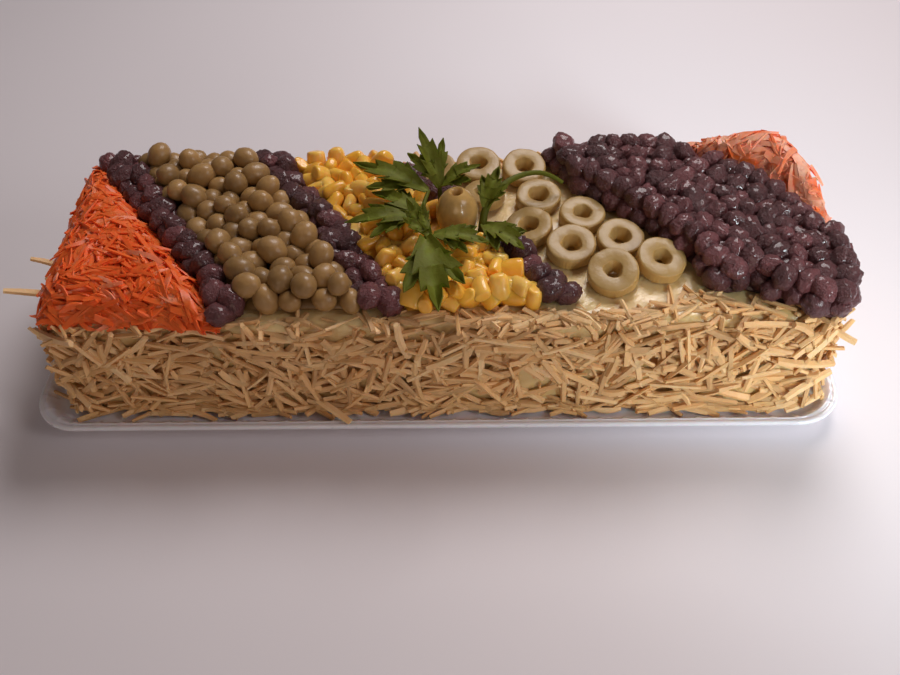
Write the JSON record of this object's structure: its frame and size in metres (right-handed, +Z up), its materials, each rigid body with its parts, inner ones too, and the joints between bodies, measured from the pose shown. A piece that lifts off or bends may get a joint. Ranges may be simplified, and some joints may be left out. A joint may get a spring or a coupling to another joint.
{
  "type": "sandwich cake",
  "caption": "Long cold sandwich cake coated in potato sticks and topped with bands of carrot, raisins, peas, corn and olives, on a low white platter.",
  "frame": {"origin": "on the flat underside of the platter, below the middle of the cake", "axes": "+X along the cake to its right end, +Y to its back, +Z up from the table"},
  "size_m": [0.3083, 0.113, 0.0843],
  "materials": {
    "china": "glazed white china, glossy",
    "mayonnaise": "spread mayonnaise, soft sheen",
    "potato_coat": "fried potato sticks over mayonnaise, dull with oily glints",
    "carrot": "freshly grated carrot, moist",
    "raisin": "wrinkled dark raisins, moist glints",
    "pea": "tinned peas, moist",
    "sweetcorn": "cooked sweetcorn kernels, wet",
    "olive_slice": "brined green olive flesh, smooth",
    "olive_skin": "green olive skin, smooth and wet",
    "parsley": "fresh flat parsley leaves, waxy"
  },
  "bodies": {
    "root": {"platter": "china", "cake": "potato_coat", "carrot_left": "carrot", "carrot_right": "carrot", "raisins_left": "raisin", "raisins_middle": "raisin", "raisins_centre": "raisin", "raisins_right": "raisin", "peas": "pea", "corn": "sweetcorn", "whole_olive": "olive_skin", "parsley_left": "parsley", "parsley_front": "parsley", "parsley_back": "parsley", "parsley_right": "parsley", "olive_slice_01": "olive_slice", "olive_slice_02": "olive_slice", "olive_slice_03": "olive_slice", "olive_slice_04": "olive_slice", "olive_slice_05": "olive_slice", "olive_slice_06": "olive_slice", "olive_slice_07": "olive_slice", "olive_slice_08": "olive_slice", "olive_slice_09": "olive_slice", "olive_slice_10": "olive_slice", "olive_slice_11": "olive_slice"}
  },
  "joints": []
}
